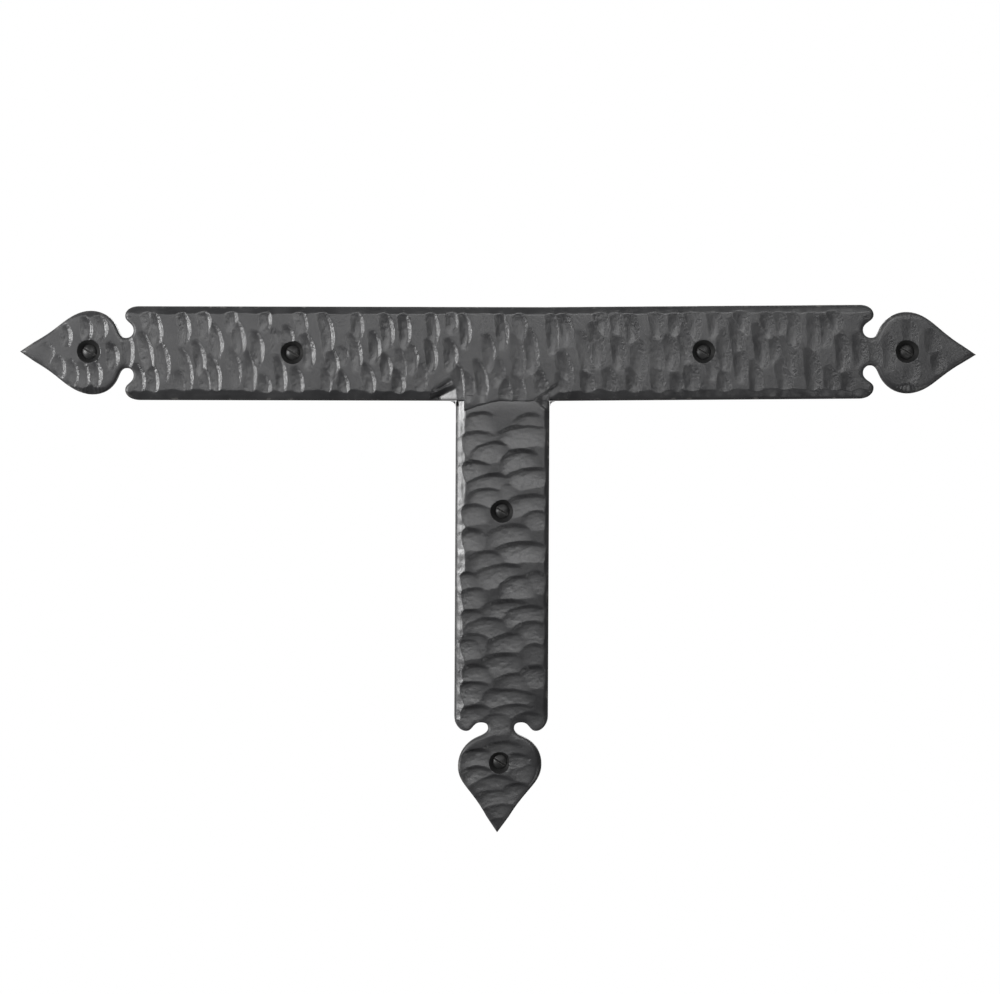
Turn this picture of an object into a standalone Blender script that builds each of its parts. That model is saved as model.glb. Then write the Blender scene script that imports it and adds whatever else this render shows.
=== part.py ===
"""Hand-forged T strap for a plank door, with its six slotted wood screws.

Two flat bars are butt-welded into a T: a crossbar with a spear finial on each end, and a leg
with one on its foot. The strap lies flat against the door. Frame: metres, +X to the right
along the crossbar, +Z up, the front faces -Y, and the flat back is the plane y = 0. The origin
is the middle of the crossbar's back face.
"""

import math
from collections import namedtuple

import bmesh
import bpy
from mathutils import Matrix, Vector
from mathutils.geometry import interpolate_bezier

# The strap
BAR_WIDTH = 0.0498
THICKNESS = 0.00635
CHAMFER_WIDTH = 0.002
CHAMFER_DEPTH = 0.0012
GAP = 0.0003  # running clearance left between neighbouring solids
BOW = 0.0004  # how far the middle of the crossbar bows down
SEAM = BAR_WIDTH / 2 + BOW  # how far its lower edge is below the origin, where the leg meets it

# One arm of the T with its spear finial. Each was drawn out and filed by hand, so the three
# differ a little. Reaches are distances along the arm from the middle of the crossbar, each with
# the half width there; sways are how far the arm's centre line wanders sideways.
Arm = namedtuple(
    "Arm",
    "root_sway ear_sway point_sway ear_start ear_nose ear_nose_half notch notch_half neck neck_half"
    " lobe_start lobe_start_half lobe lobe_half shoulder shoulder_half flank flank_half point",
)
LEFT_ARM = Arm(
    root_sway=-BOW,
    ear_sway=0.00015,
    point_sway=0.00085,
    ear_start=0.1910,
    ear_nose=0.1981,
    ear_nose_half=0.0196,
    notch=0.1936,
    notch_half=0.0120,
    neck=0.1979,
    neck_half=0.0079,
    lobe_start=0.2024,
    lobe_start_half=0.0129,
    lobe=0.2165,
    lobe_half=0.0222,
    shoulder=0.2330,
    shoulder_half=0.0143,
    flank=0.2462,
    flank_half=0.0053,
    point=0.2540,
)
RIGHT_ARM = LEFT_ARM._replace(
    ear_sway=0.0009,
    point_sway=-0.00085,
    ear_start=0.1926,
    ear_nose=0.1996,
    ear_nose_half=0.0193,
    notch=0.1939,
    notch_half=0.0115,
    neck=0.1984,
    neck_half=0.0072,
    lobe_start=0.2030,
    lobe_start_half=0.0118,
    lobe=0.2176,
    lobe_half=0.0216,
    shoulder_half=0.0146,
    flank_half=0.0050,
)
LEG = LEFT_ARM._replace(
    root_sway=0.0025,
    ear_sway=0.0016,
    point_sway=-0.0005,
    ear_start=0.1930,
    ear_nose=0.2008,
    ear_nose_half=0.0185,
    notch=0.1963,
    notch_half=0.0110,
    neck=0.1994,
    neck_half=0.0069,
    lobe_start=0.2042,
    lobe_start_half=0.0122,
    lobe=0.2189,
    shoulder_half=0.0153,
    flank_half=0.0060,
    point=0.2547,
)

# Welds
WELD_HALF_WIDTH = 0.0025
WELD_DEPTH = 0.0025
CORNER_FILLET = 0.0025

# Screws: number 8 slotted oval-head wood screws, 1 1/4 inch
FINIAL_SCREW = 0.2173  # from the middle of the crossbar, on all three arms
BAR_SCREW = 0.1092  # from the middle of the crossbar, to each side
CROSSBAR_SCREW_LIFT = 0.0004  # its holes were drilled a little above the centre line
LEG_SCREW = 0.0840  # below the middle of the crossbar
COUNTERSINK_RADIUS = 0.0063
HOLE_RADIUS = 0.00245
CONE_HALF_ANGLE = math.radians(41)
HEAD_RADIUS = 0.00375
HEAD_DOME = 0.0013
SHANK_RADIUS = 0.00205
SCREW_LENGTH = 0.03175  # from the rim of the head to the point
THREAD_START = 0.0106  # below the rim
THREAD_PITCH = 0.00169
THREAD_ROOT = 0.00150
POINT_LENGTH = 0.0065
POINT_SCALE = 0.12
SLOT_WIDTH = 0.0011
SLOT_DEPTH = 0.0016
SLOT_ANGLE = math.radians(-32)

ROUND_STEPS = 24
THREAD_STEPS = 10
HEAD_STEPS = 4
CURVE_STEPS = 9
SHARP_ANGLE = math.radians(30)

FORGED_BLACK = ("forged_black", (0.035, 0.035, 0.037, 1), 0.42, 0.7)
SCREW_BLACK = ("screw_black", (0.03, 0.03, 0.031, 1), 0.38, 0.8)


def clear_scene():
    for obj in list(bpy.data.objects):
        bpy.data.objects.remove(obj, do_unlink=True)


def finish_material(name, colour, roughness, metallic):
    material = bpy.data.materials.new(name)
    material.use_nodes = True
    shader = material.node_tree.nodes["Principled BSDF"]
    shader.inputs["Base Color"].default_value = colour
    shader.inputs["Roughness"].default_value = roughness
    shader.inputs["Metallic"].default_value = metallic
    return material


def mesh_from(bm, name):
    """Close the bmesh's seams, turn its faces outwards and write it to a new mesh."""
    bmesh.ops.remove_doubles(bm, verts=bm.verts, dist=0.000001)
    bmesh.ops.recalc_face_normals(bm, faces=bm.faces)
    mesh = bpy.data.meshes.new(name)
    bm.to_mesh(mesh)
    bm.free()
    mesh.shade_smooth()
    mesh.set_sharp_from_angle(angle=SHARP_ANGLE)
    return mesh


def add_part(name, mesh, material=None):
    part = bpy.data.objects.new(name, mesh)
    bpy.context.collection.objects.link(part)
    if material and not mesh.materials:
        mesh.materials.append(material)
    return part


def add_cutter(name, mesh):
    cutter = add_part(name, mesh)
    cutter.hide_render = True
    cutter.display_type = "WIRE"
    return cutter


def cut(part, cutter):
    boolean = part.modifiers.new(cutter.name, "BOOLEAN")
    boolean.operation = "DIFFERENCE"
    boolean.solver = "EXACT"
    boolean.object = cutter


def curve(start, leave, arrive, end):
    """Points along one Bezier curve, without its last point."""
    points = interpolate_bezier(Vector(start), Vector(leave), Vector(arrive), Vector(end), CURVE_STEPS + 1)
    return [(point.x, point.y) for point in points[:-1]]


def sway(arm, reach):
    """How far the arm's centre line stands to one side: straight from root to ears to point."""
    if reach < arm.ear_nose:
        along = (reach - SEAM) / (arm.ear_nose - SEAM)
        return arm.root_sway + (arm.ear_sway - arm.root_sway) * along
    along = (reach - arm.ear_nose) / (arm.point - arm.ear_nose)
    return arm.ear_sway + (arm.point_sway - arm.ear_sway) * along


def finial_half(arm):
    """One side of an arm's end, from its round ear to the spear's point: (reach, half width)."""
    ear = (arm.ear_start, BAR_WIDTH / 2)
    nose = (arm.ear_nose, arm.ear_nose_half)
    notch = (arm.notch, arm.notch_half)
    neck = (arm.neck, arm.neck_half)
    start = (arm.lobe_start, arm.lobe_start_half)
    lobe = (arm.lobe, arm.lobe_half)
    shoulder = (arm.shoulder, arm.shoulder_half)
    flank = (arm.flank, arm.flank_half)
    outline = curve(ear, (ear[0] + 0.0040, ear[1]), (nose[0], nose[1] + 0.0034), nose)
    outline += curve(nose, (nose[0], nose[1] - 0.0034), (notch[0], notch[1] + 0.0040), notch)
    outline += curve(notch, (notch[0], notch[1] - 0.0027), (neck[0] - 0.0024, neck[1]), neck)
    outline += curve(neck, (neck[0] + 0.0026, neck[1]), (start[0] - 0.0011, start[1] - 0.0026), start)
    outline += curve(start, (start[0] + 0.0023, start[1] + 0.0054), (lobe[0] - 0.0072, lobe[1]), lobe)
    into_shoulder = (shoulder[0] - 0.0042, shoulder[1] + 0.0034)
    out_of_shoulder = (shoulder[0] + 0.0050, shoulder[1] - 0.0041)
    outline += curve(lobe, (lobe[0] + 0.0064, lobe[1]), into_shoulder, shoulder)
    outline += curve(shoulder, out_of_shoulder, (flank[0] - 0.0045, flank[1] + 0.0026), flank)
    return outline + [flank, (arm.point, 0)]


def seam_ends():
    """The leg's left and right sides where it meets the crossbar."""
    return LEG.root_sway - BAR_WIDTH / 2, LEG.root_sway + BAR_WIDTH / 2


def arm_outline(arm, root):
    """The whole arm, out along its positive side to the point and back to the root: (reach, offset)."""
    half = [(root, BAR_WIDTH / 2)] + finial_half(arm)
    sides = half + [(reach, -half_width) for reach, half_width in reversed(half[:-1])]
    return [(reach, offset + sway(arm, reach)) for reach, offset in sides]


def forged_bar(name, outline):
    """A flat bar of the given (x, z) outline, with its front edges hammered back to a chamfer."""
    bm = bmesh.new()
    back = bm.faces.new([bm.verts.new((x, 0, z)) for x, z in outline])
    extruded = bmesh.ops.extrude_face_region(bm, geom=[back])["geom"]
    front_verts = [item for item in extruded if isinstance(item, bmesh.types.BMVert)]
    front = next(item for item in extruded if isinstance(item, bmesh.types.BMFace))
    bmesh.ops.translate(bm, verts=front_verts, vec=(0, CHAMFER_DEPTH - THICKNESS, 0))
    bmesh.ops.inset_region(
        bm, faces=[front], thickness=CHAMFER_WIDTH, use_boundary=True, use_even_offset=True
    )
    bmesh.ops.translate(bm, verts=front.verts, vec=(0, -CHAMFER_DEPTH, 0))
    return mesh_from(bm, name)


def crossbar_mesh():
    right = arm_outline(RIGHT_ARM, SEAM)
    left = [(-reach, offset) for reach, offset in reversed(arm_outline(LEFT_ARM, SEAM))]
    return forged_bar("crossbar", right + left)


def leg_mesh():
    return forged_bar("leg", [(offset, -reach) for reach, offset in arm_outline(LEG, SEAM + GAP)])


def extruded_along(name, section, start, end, axis):
    """A prism: the flat section, a list of 3D points, at start and swept to end along the axis."""
    bm = bmesh.new()
    face = bm.faces.new([bm.verts.new(Vector(point) + axis * start) for point in section])
    extruded = bmesh.ops.extrude_face_region(bm, geom=[face])["geom"]
    swept = [item for item in extruded if isinstance(item, bmesh.types.BMVert)]
    bmesh.ops.translate(bm, verts=swept, vec=axis * (end - start))
    return mesh_from(bm, name)


def groove_section(half_width, apex_depth, rise, side):
    """A V section across the seam, open at the front (side -1) or the back (side +1) face."""
    face_y = -THICKNESS if side < 0 else 0
    seam_z = -SEAM - GAP / 2
    slope = half_width / apex_depth
    top_half = half_width + slope * rise
    top_y = face_y + side * rise
    apex_y = face_y - side * apex_depth
    return [(0, top_y, seam_z - top_half), (0, top_y, seam_z + top_half), (0, apex_y, seam_z)]


def add_seam_weld(name, side, crossbar, leg, material):
    """The groove ground along the seam on one face, and the bead that fills it flush."""
    left, right = seam_ends()
    groove = groove_section(WELD_HALF_WIDTH, WELD_DEPTH, 0.001, side)
    along = Vector((1, 0, 0))
    cutter = add_cutter(name + "_groove", extruded_along(name + "_groove", groove, left, right, along))
    cut(crossbar, cutter)
    cut(leg, cutter)
    shrink = GAP * math.sqrt(2)
    bead = groove_section(WELD_HALF_WIDTH - shrink, WELD_DEPTH - shrink, 0, side)
    return add_part(name, extruded_along(name, bead, left + GAP, right - GAP, along), material)


def add_corner_weld(name, corner_x, side, material):
    """A concave fillet in one inner corner of the T, through the thickness of the bars."""
    corner = Vector((corner_x + side * GAP, 0, -SEAM - GAP))
    centre = corner + Vector((side * CORNER_FILLET, 0, -CORNER_FILLET))
    section = [corner]
    for step in range(CURVE_STEPS + 1):
        angle = math.pi / 2 * step / CURVE_STEPS
        outwards = Vector((-side * math.sin(angle), 0, math.cos(angle)))
        section.append(centre + outwards * CORNER_FILLET * 0.98)
    mesh = extruded_along(name, section, CHAMFER_DEPTH - THICKNESS, 0, Vector((0, 1, 0)))
    return add_part(name, mesh, material)


def turned(bm, profile):
    """Spin a profile of (radius, height) points about the Z axis, and close its seam."""
    verts = [bm.verts.new((radius, 0, height)) for radius, height in profile]
    edges = [bm.edges.new(pair) for pair in zip(verts, verts[1:])]
    bmesh.ops.spin(
        bm, geom=verts + edges, cent=(0, 0, 0), axis=(0, 0, 1), angle=math.tau, steps=ROUND_STEPS,
        use_merge=True,
    )
    bmesh.ops.remove_doubles(bm, verts=bm.verts, dist=0.000001)


def open_edges_at(bm, height):
    rim = [edge for edge in bm.edges if edge.is_boundary]
    return [edge for edge in rim if all(abs(vert.co.z - height) < 0.00001 for vert in edge.verts)]


def cone_height(from_radius, to_radius):
    return (from_radius - to_radius) / math.tan(CONE_HALF_ANGLE)


def countersink_mesh():
    """The space of one countersunk hole, on the Z axis with the bar's front face at z = 0."""
    over = 0.001
    mouth = COUNTERSINK_RADIUS + over * math.tan(CONE_HALF_ANGLE)
    neck = -cone_height(COUNTERSINK_RADIUS, HOLE_RADIUS)
    far = -THICKNESS - over
    bm = bmesh.new()
    turned(bm, [(0, over), (mouth, over), (HOLE_RADIUS, neck), (HOLE_RADIUS, far), (0, far)])
    return mesh_from(bm, "countersink")


def add_thread(bm):
    """The threaded part of the screw: a right-hand ridge on a tapering core, with a blunt point."""
    length = SCREW_LENGTH - THREAD_START
    turns = math.ceil(length / THREAD_PITCH) + 2
    top = -THREAD_START + THREAD_PITCH
    profile = [(THREAD_ROOT, 0), (SHANK_RADIUS, -THREAD_PITCH / 2), (THREAD_ROOT, -THREAD_PITCH)]
    verts = [bm.verts.new((radius, 0, top + height)) for radius, height in profile]
    edges = [bm.edges.new(pair) for pair in zip(verts, verts[1:])]
    bmesh.ops.spin(
        bm,
        geom=verts + edges,
        cent=(0, 0, 0),
        axis=(0, 0, -1),
        dvec=(0, 0, -THREAD_PITCH / THREAD_STEPS),
        angle=math.tau * turns,
        steps=THREAD_STEPS * turns,
    )
    bmesh.ops.remove_doubles(bm, verts=bm.verts, dist=0.000005)
    for vert in bm.verts:
        above_point = vert.co.z + SCREW_LENGTH
        taper = min(1, max(POINT_SCALE, above_point / POINT_LENGTH))
        vert.co.x *= taper
        vert.co.y *= taper
    for height, side in ((-THREAD_START, 1), (-SCREW_LENGTH, -1)):
        everything = bm.verts[:] + bm.edges[:] + bm.faces[:]
        bmesh.ops.bisect_plane(
            bm, geom=everything, dist=0.000005, plane_co=(0, 0, height), plane_no=(0, 0, side),
            clear_outer=True,
        )
    bmesh.ops.holes_fill(bm, edges=open_edges_at(bm, -SCREW_LENGTH), sides=0)


def screw_mesh(material):
    """A slotted oval-head wood screw on the Z axis, with the rim of its head at z = 0."""
    bm = bmesh.new()
    add_thread(bm)
    dome_radius = (HEAD_RADIUS**2 + HEAD_DOME**2) / (2 * HEAD_DOME)
    half_arc = math.asin(HEAD_RADIUS / dome_radius)
    profile = []
    for step in range(HEAD_STEPS + 1):
        angle = half_arc * step / HEAD_STEPS
        profile.append((dome_radius * math.sin(angle), HEAD_DOME - dome_radius * (1 - math.cos(angle))))
    shank_end = -THREAD_START + GAP
    profile += [(SHANK_RADIUS, -cone_height(HEAD_RADIUS, SHANK_RADIUS)), (SHANK_RADIUS, shank_end)]
    turned(bm, profile)
    bmesh.ops.bridge_loops(bm, edges=open_edges_at(bm, shank_end) + open_edges_at(bm, -THREAD_START))
    blank = add_part("screw_blank", mesh_from(bm, "screw_blank"))

    slot = bmesh.new()
    size = Matrix.Diagonal((HEAD_RADIUS * 3, SLOT_WIDTH, SLOT_DEPTH * 2, 1))
    place = Matrix.Translation((0, 0, HEAD_DOME)) @ Matrix.Rotation(SLOT_ANGLE, 4, "Z") @ size
    bmesh.ops.create_cube(slot, size=1, matrix=place)
    cutter = add_cutter("screw_slot", mesh_from(slot, "screw_slot"))
    cut(blank, cutter)

    evaluated = blank.evaluated_get(bpy.context.evaluated_depsgraph_get())
    mesh = bpy.data.meshes.new_from_object(evaluated)
    mesh.name = "screw"
    mesh.materials.clear()
    mesh.materials.append(material)
    bpy.data.objects.remove(blank)
    bpy.data.objects.remove(cutter)
    return mesh


def add_screw(name, bar, x, z, hole, mesh):
    """Cut one countersunk hole in the bar and seat a screw in it, clear of the cone."""
    upright = Matrix.Rotation(math.pi / 2, 4, "X")  # turns +Z out of the front face
    cutter = add_cutter(name + "_hole", hole)
    cutter.matrix_world = Matrix.Translation((x, -THICKNESS, z)) @ upright
    cut(bar, cutter)
    radial_gap = GAP / math.cos(CONE_HALF_ANGLE) + 0.00001
    rim_depth = cone_height(COUNTERSINK_RADIUS, HEAD_RADIUS + radial_gap)
    screw = add_part(name, mesh)
    screw.location = (x, rim_depth - THICKNESS, z)
    screw.rotation_euler = (math.pi / 2, 0, 0)
    return screw


def build():
    clear_scene()
    black = finish_material(*FORGED_BLACK)
    crossbar = add_part("crossbar", crossbar_mesh(), black)
    leg = add_part("leg", leg_mesh(), black)

    add_seam_weld("front_weld", -1, crossbar, leg, black)
    add_seam_weld("back_weld", 1, crossbar, leg, black)
    left, right = seam_ends()
    add_corner_weld("left_corner_weld", left, -1, black)
    add_corner_weld("right_corner_weld", right, 1, black)

    hole = countersink_mesh()
    screw = screw_mesh(finish_material(*SCREW_BLACK))
    crossbar_screws = (
        ("left_finial_screw", -1, LEFT_ARM, FINIAL_SCREW),
        ("left_bar_screw", -1, LEFT_ARM, BAR_SCREW),
        ("right_bar_screw", 1, RIGHT_ARM, BAR_SCREW),
        ("right_finial_screw", 1, RIGHT_ARM, FINIAL_SCREW),
    )
    for name, side, arm, reach in crossbar_screws:
        add_screw(name, crossbar, side * reach, sway(arm, reach) + CROSSBAR_SCREW_LIFT, hole, screw)
    for name, reach in (("leg_screw", LEG_SCREW), ("foot_finial_screw", FINIAL_SCREW)):
        add_screw(name, leg, sway(LEG, reach), -reach, hole, screw)


build()
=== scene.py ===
"""A hand-forged iron T strap with spear finials, seen straight on, on a white studio sweep."""

import math
import random
from collections import namedtuple

import bmesh
import bpy
import numpy as np
from mathutils import Matrix, Vector, noise


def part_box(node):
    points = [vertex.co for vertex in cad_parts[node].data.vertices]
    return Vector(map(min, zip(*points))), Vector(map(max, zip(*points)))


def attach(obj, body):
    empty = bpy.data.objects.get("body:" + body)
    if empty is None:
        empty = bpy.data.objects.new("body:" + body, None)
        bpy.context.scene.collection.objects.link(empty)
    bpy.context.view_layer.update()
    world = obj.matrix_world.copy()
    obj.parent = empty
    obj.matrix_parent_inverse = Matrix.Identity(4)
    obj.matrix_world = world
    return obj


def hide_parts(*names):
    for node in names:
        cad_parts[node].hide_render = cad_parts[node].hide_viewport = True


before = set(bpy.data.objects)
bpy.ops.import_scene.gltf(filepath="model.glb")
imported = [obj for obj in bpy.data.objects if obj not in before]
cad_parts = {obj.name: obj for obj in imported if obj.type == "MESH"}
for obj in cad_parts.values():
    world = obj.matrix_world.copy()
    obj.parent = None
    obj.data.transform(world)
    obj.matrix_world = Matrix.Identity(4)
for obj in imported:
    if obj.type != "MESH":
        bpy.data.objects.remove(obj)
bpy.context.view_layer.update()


# ---- The studio ------------------------------------------------------------------------------
# The strap hangs upright in a white room over a pale floor. A strong soft light stands on its
# left, and two weaker ones hang above the camera. Two more on the right, high and low, light the
# bevels on that side, and a large one behind lights the back.

bar_low, bar_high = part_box("crossbar")
leg_low, leg_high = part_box("leg")
middle_x = (bar_low.x + bar_high.x) / 2

LENS = 88.0
SENSOR = 36.0
PICTURE_WIDTH = 0.5308
AIM = Vector((middle_x + 0.00106, bar_low.y, -0.07808))
camera_data = bpy.data.cameras.new("camera")
camera_data.lens = LENS
camera_data.sensor_width = SENSOR
camera = bpy.data.objects.new("camera", camera_data)
camera.location = AIM - Vector((0, PICTURE_WIDTH * LENS / SENSOR, 0))
camera.rotation_euler = (math.pi / 2, 0, 0)
bpy.context.scene.collection.objects.link(camera)
bpy.context.scene.camera = camera
bpy.context.scene.view_settings.view_transform = "Standard"


def soft_light(name, place, target, width, height, power):
    data = bpy.data.lights.new(name, "AREA")
    data.shape = "RECTANGLE"
    data.size = width
    data.size_y = height
    data.energy = power
    lamp = bpy.data.objects.new(name, data)
    lamp.location = place
    lamp.rotation_euler = (Vector(target) - Vector(place)).to_track_quat("-Z", "Y").to_euler()
    lamp.visible_camera = False
    bpy.context.scene.collection.objects.link(lamp)


soft_light("left_strip", (-0.98, -0.60, 0.08), (0, 0, -0.03), 0.36, 0.34, 18.5)
soft_light("over_camera", (-0.33, -1.25, 0.24), (0, 0, -0.05), 0.6, 0.6, 2.7)
soft_light("right_fill", (0.20, -1.30, 0.42), (0, 0, -0.05), 0.6, 0.4, 5.8)
soft_light("right_high", (0.50, -0.45, 0.60), (0.1, 0, -0.05), 0.5, 0.4, 2.0)
soft_light("right_low", (0.55, -0.45, -0.62), (0.1, 0, -0.05), 0.5, 0.4, 2.2)
soft_light("behind", (0.5, 1.6, 0.9), (0, 0, -0.05), 1.2, 1.2, 40.0)

world = bpy.data.worlds.new("white_room")
bpy.context.scene.world = world
world.use_nodes = True
room, joins = world.node_tree.nodes, world.node_tree.links
direction = room.new("ShaderNodeTexCoord")
parts = room.new("ShaderNodeSeparateXYZ")
rear = room.new("ShaderNodeMapRange")
rear.inputs["From Min"].default_value = 0.0
rear.inputs["From Max"].default_value = 0.9
rear.inputs["To Min"].default_value = 0.10
rear.inputs["To Max"].default_value = 0.40
rays = room.new("ShaderNodeLightPath")
seen = room.new("ShaderNodeBackground")
seen.inputs["Color"].default_value = (1, 1, 1, 1)
either = room.new("ShaderNodeMixShader")
room["Background"].inputs["Color"].default_value = (1, 1, 1, 1)
joins.new(direction.outputs["Generated"], parts.inputs["Vector"])
joins.new(parts.outputs["Y"], rear.inputs["Value"])
joins.new(rear.outputs["Result"], room["Background"].inputs["Strength"])
joins.new(rays.outputs["Is Camera Ray"], either.inputs["Fac"])
joins.new(room["Background"].outputs["Background"], either.inputs[1])
joins.new(seen.outputs["Background"], either.inputs[2])
joins.new(either.outputs["Shader"], room["World Output"].inputs["Surface"])

FLOOR_DROP = 0.33
FLOOR_HALF = 1.2
floor_bm = bmesh.new()
bmesh.ops.create_grid(floor_bm, x_segments=1, y_segments=1, size=FLOOR_HALF)
bmesh.ops.translate(floor_bm, verts=floor_bm.verts, vec=(0, 0, leg_low.z - FLOOR_DROP))
floor_mesh = bpy.data.meshes.new("studio_floor")
floor_bm.to_mesh(floor_mesh)
floor_bm.free()
floor = bpy.data.objects.new("studio_floor", floor_mesh)
floor.visible_glossy = False
floor.visible_diffuse = False
bpy.context.scene.collection.objects.link(floor)
floor_paint = bpy.data.materials.new("pale_floor")
floor_paint.use_nodes = True
paint = floor_paint.node_tree.nodes["Principled BSDF"]
paint.inputs["Base Color"].default_value = (0.85, 0.85, 0.84, 1)
paint.inputs["Roughness"].default_value = 0.7
paint.inputs["Emission Color"].default_value = (1, 1, 1, 1)
paint.inputs["Emission Strength"].default_value = 0.45
floor_mesh.materials.append(floor_paint)


# ---- The crossbar ----------------------------------------------------------------------------
# A flat bar of mild steel, 50 by 6 mm, with a spear drawn out on each end. The smith struck its
# face with a cross-peen hammer, in three rows, then hammered its front arrises back to a bevel.

MM = 0.001
CLOSE = 0.000001
GRID = 0.00045
COARSE_GRID = 0.00080

# One blow: its middle, half its length and width, its heading, its depth, how near its deepest
# line lies to its steep side, how far that side curves back at its ends, and how much the whole
# mark narrows there.
Blow = namedtuple("Blow", "x z half_length half_width heading depth skew bow pinch")

# Where the peen's steep edge bit, in mm from the crossbar's middle: how far to the right, the
# top and the bottom of the mark, and how deep it bit, in steps of a little under 0.2 mm.
UPPER_BLOWS = (
    (-183, 23, 14, 4), (-178, 21, 5, 6), (-163, 22, 6, 5), (-152, 23, 9, 6), (-138, 23, 13, 5),
    (-120, 23, 13, 5), (-101, 23, 11, 4), (-87, 22, 1, 7), (-71, 21, 8, 6), (-55, 21, 4, 6),
    (-46, 21, 4, 6), (-31, 22, 5, 6), (-21, 23, 12, 5), (-14, 21, 4, 6), (6, 20, 4, 5),
    (16, 21, 8, 4), (33, 21, 2, 5), (40, 20, 7, 5), (59, 22, 12, 4), (67, 22, 11, 4),
    (75, 20, 6, 4), (88, 22, 9, 4), (98, 20, 12, 4), (108, 24, 10, 4), (119, 22, 11, 4),
    (134, 23, 13, 5), (147, 21, 10, 4), (155, 22, 12, 3), (161, 20, 6, 4), (172, 20, 3, 3),
    (178, 17, 6, 3), (183, 23, 13, 4),
)
MIDDLE_BLOWS = (
    (-183, 10, -8, 5), (-174, 6, -14, 4), (-162, 1, -20, 4), (-155, 5, -10, 7), (-146, 15, -2, 6),
    (-134, 17, 0, 6), (-136, 1, -17, 3), (-124, 10, -6, 6), (-108, 13, 4, 4), (-97, 10, -7, 6),
    (-84, 1, -12, 6), (-79, 2, -5, 2), (-72, 9, -8, 5), (-62, 10, -4, 6), (-56, -2, -13, 6),
    (-42, 4, -10, 4), (-48, 1, -15, 3), (-32, 6, -9, 7), (-21, 6, -8, 6), (-1, 8, -8, 4),
    (15, 8, -15, 4), (22, 10, -9, 5), (57, 13, -5, 4), (51, 9, -11, 4), (68, 8, -6, 4),
    (79, 6, -12, 4), (96, 7, -6, 4), (104, 15, -6, 4), (89, 6, -8, 3), (124, 10, -9, 4),
    (131, 16, 0, 4), (133, 1, -13, 4), (144, 13, -5, 5), (151, 6, -3, 3), (158, 8, -10, 3),
    (187, 8, -7, 4),
)
LOWER_BLOWS = (
    (-187, -7, -21, 4), (-180, -6, -22, 5), (-165, -11, -23, 3), (-152, -7, -21, 4),
    (-147, -2, -21, 6), (-128, 0, -21, 5), (-120, -13, -24, 5), (-112, -3, -21, 6),
    (-103, -9, -23, 5), (-88, -9, -22, 3), (-79, -10, -24, 6), (-65, -7, -22, 6),
    (-49, -10, -22, 7), (-37, -6, -20, 3), (-17, -7, -26, 6), (-12, -12, -24, 3),
    (-5, -5, -24, 5), (4, -4, -16, 3), (8, -15, -27, 4), (15, -12, -27, 4), (27, -11, -24, 4),
    (40, -2, -15, 5), (39, -13, -22, 4), (52, -12, -23, 5), (64, -11, -22, 4), (76, -11, -22, 5),
    (89, -10, -22, 4), (99, -14, -25, 4), (107, -8, -20, 4), (118, -2, -12, 3), (124, -11, -23, 5),
    (141, -7, -22, 5), (156, -3, -20, 4), (172, 0, -23, 4), (181, -10, -21, 3), (190, -13, -22, 3),
)
LEFT_FINIAL_BLOWS = (
    (-226, 14, 5, 6), (-215, 18, 8, 6), (-207, 19, 8, 5), (-235, 4, -4, 2), (-229, -3, -12, 4),
    (-222, -5, -16, 4), (-216, -6, -17, 4), (-210, -5, -17, 5), (-201, 4, -7, 6), (-193, 9, -8, 5),
)
RIGHT_FINIAL_BLOWS = (
    (197, 7, -5, 3), (204, 6, -6, 2), (212, 7, -6, 2), (223, 15, 5, 2), (224, -4, -13, 2),
    (235, 9, 1, 2), (238, -1, -8, 3),
)


DEPTH_PER_BITE = 0.178


def crossbar_blows():
    """The marks of the list in metres, each a little different, and softer on the right half."""
    rng = random.Random(4)
    blows = []
    for right, top, bottom, bite in (
        UPPER_BLOWS + MIDDLE_BLOWS + LOWER_BLOWS + LEFT_FINIAL_BLOWS + RIGHT_FINIAL_BLOWS
    ):
        softness = min(1, max(0, (right + 15) / 60))
        half_width = rng.uniform(3.3, 4.0) + 0.6 * softness
        half_length = (top - bottom) / 2 + 2.0 + 1.5 * softness
        lean = math.radians(rng.gauss(7, 2.5))
        x = right - half_width
        z = (top + bottom) / 2
        skew = rng.uniform(0.32, 0.48) - 0.26 * softness
        depth = bite * (DEPTH_PER_BITE - 0.020 * softness)
        bow = rng.uniform(0.0, 0.12)
        pinch = rng.uniform(0.75, 1.0) - 0.25 * softness
        blows.append(
            Blow(x * MM, z * MM, half_length * MM, half_width * MM, lean, depth * MM, skew, bow, pinch)
        )
    return blows


def cad_copy(node):
    """The design's own solid of this piece, with its loose triangles merged."""
    bm = bmesh.new()
    bm.from_mesh(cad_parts[node].data)
    bmesh.ops.remove_doubles(bm, verts=bm.verts, dist=CLOSE)
    return bm


def bar_sheet(node, screws):
    """One flat face with the bar's outline, lying on its front, facing the camera."""
    low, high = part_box(node)
    bm = cad_copy(node)
    everything = bm.verts[:] + bm.edges[:] + bm.faces[:]
    bmesh.ops.bisect_plane(
        bm, geom=everything, dist=CLOSE, plane_co=(0, (low.y + high.y) / 2, 0), plane_no=(0, 1, 0),
        clear_inner=True, clear_outer=True,
    )
    for screw in screws:
        screw_low, screw_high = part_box(screw)
        middle = (screw_low + screw_high) / 2
        reach = screw_high.x - screw_low.x
        hole = [v for v in bm.verts if math.hypot(v.co.x - middle.x, v.co.z - middle.z) < reach]
        bmesh.ops.delete(bm, geom=hole, context="VERTS")
    bmesh.ops.dissolve_limit(bm, angle_limit=math.radians(0.4), verts=bm.verts, edges=bm.edges)
    face = bmesh.ops.edgeloop_fill(bm, edges=bm.edges)["faces"][0]
    if face.normal.y > 0:
        face.normal_flip()
    for vert in bm.verts:
        vert.co.y = low.y
    return bm


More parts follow.
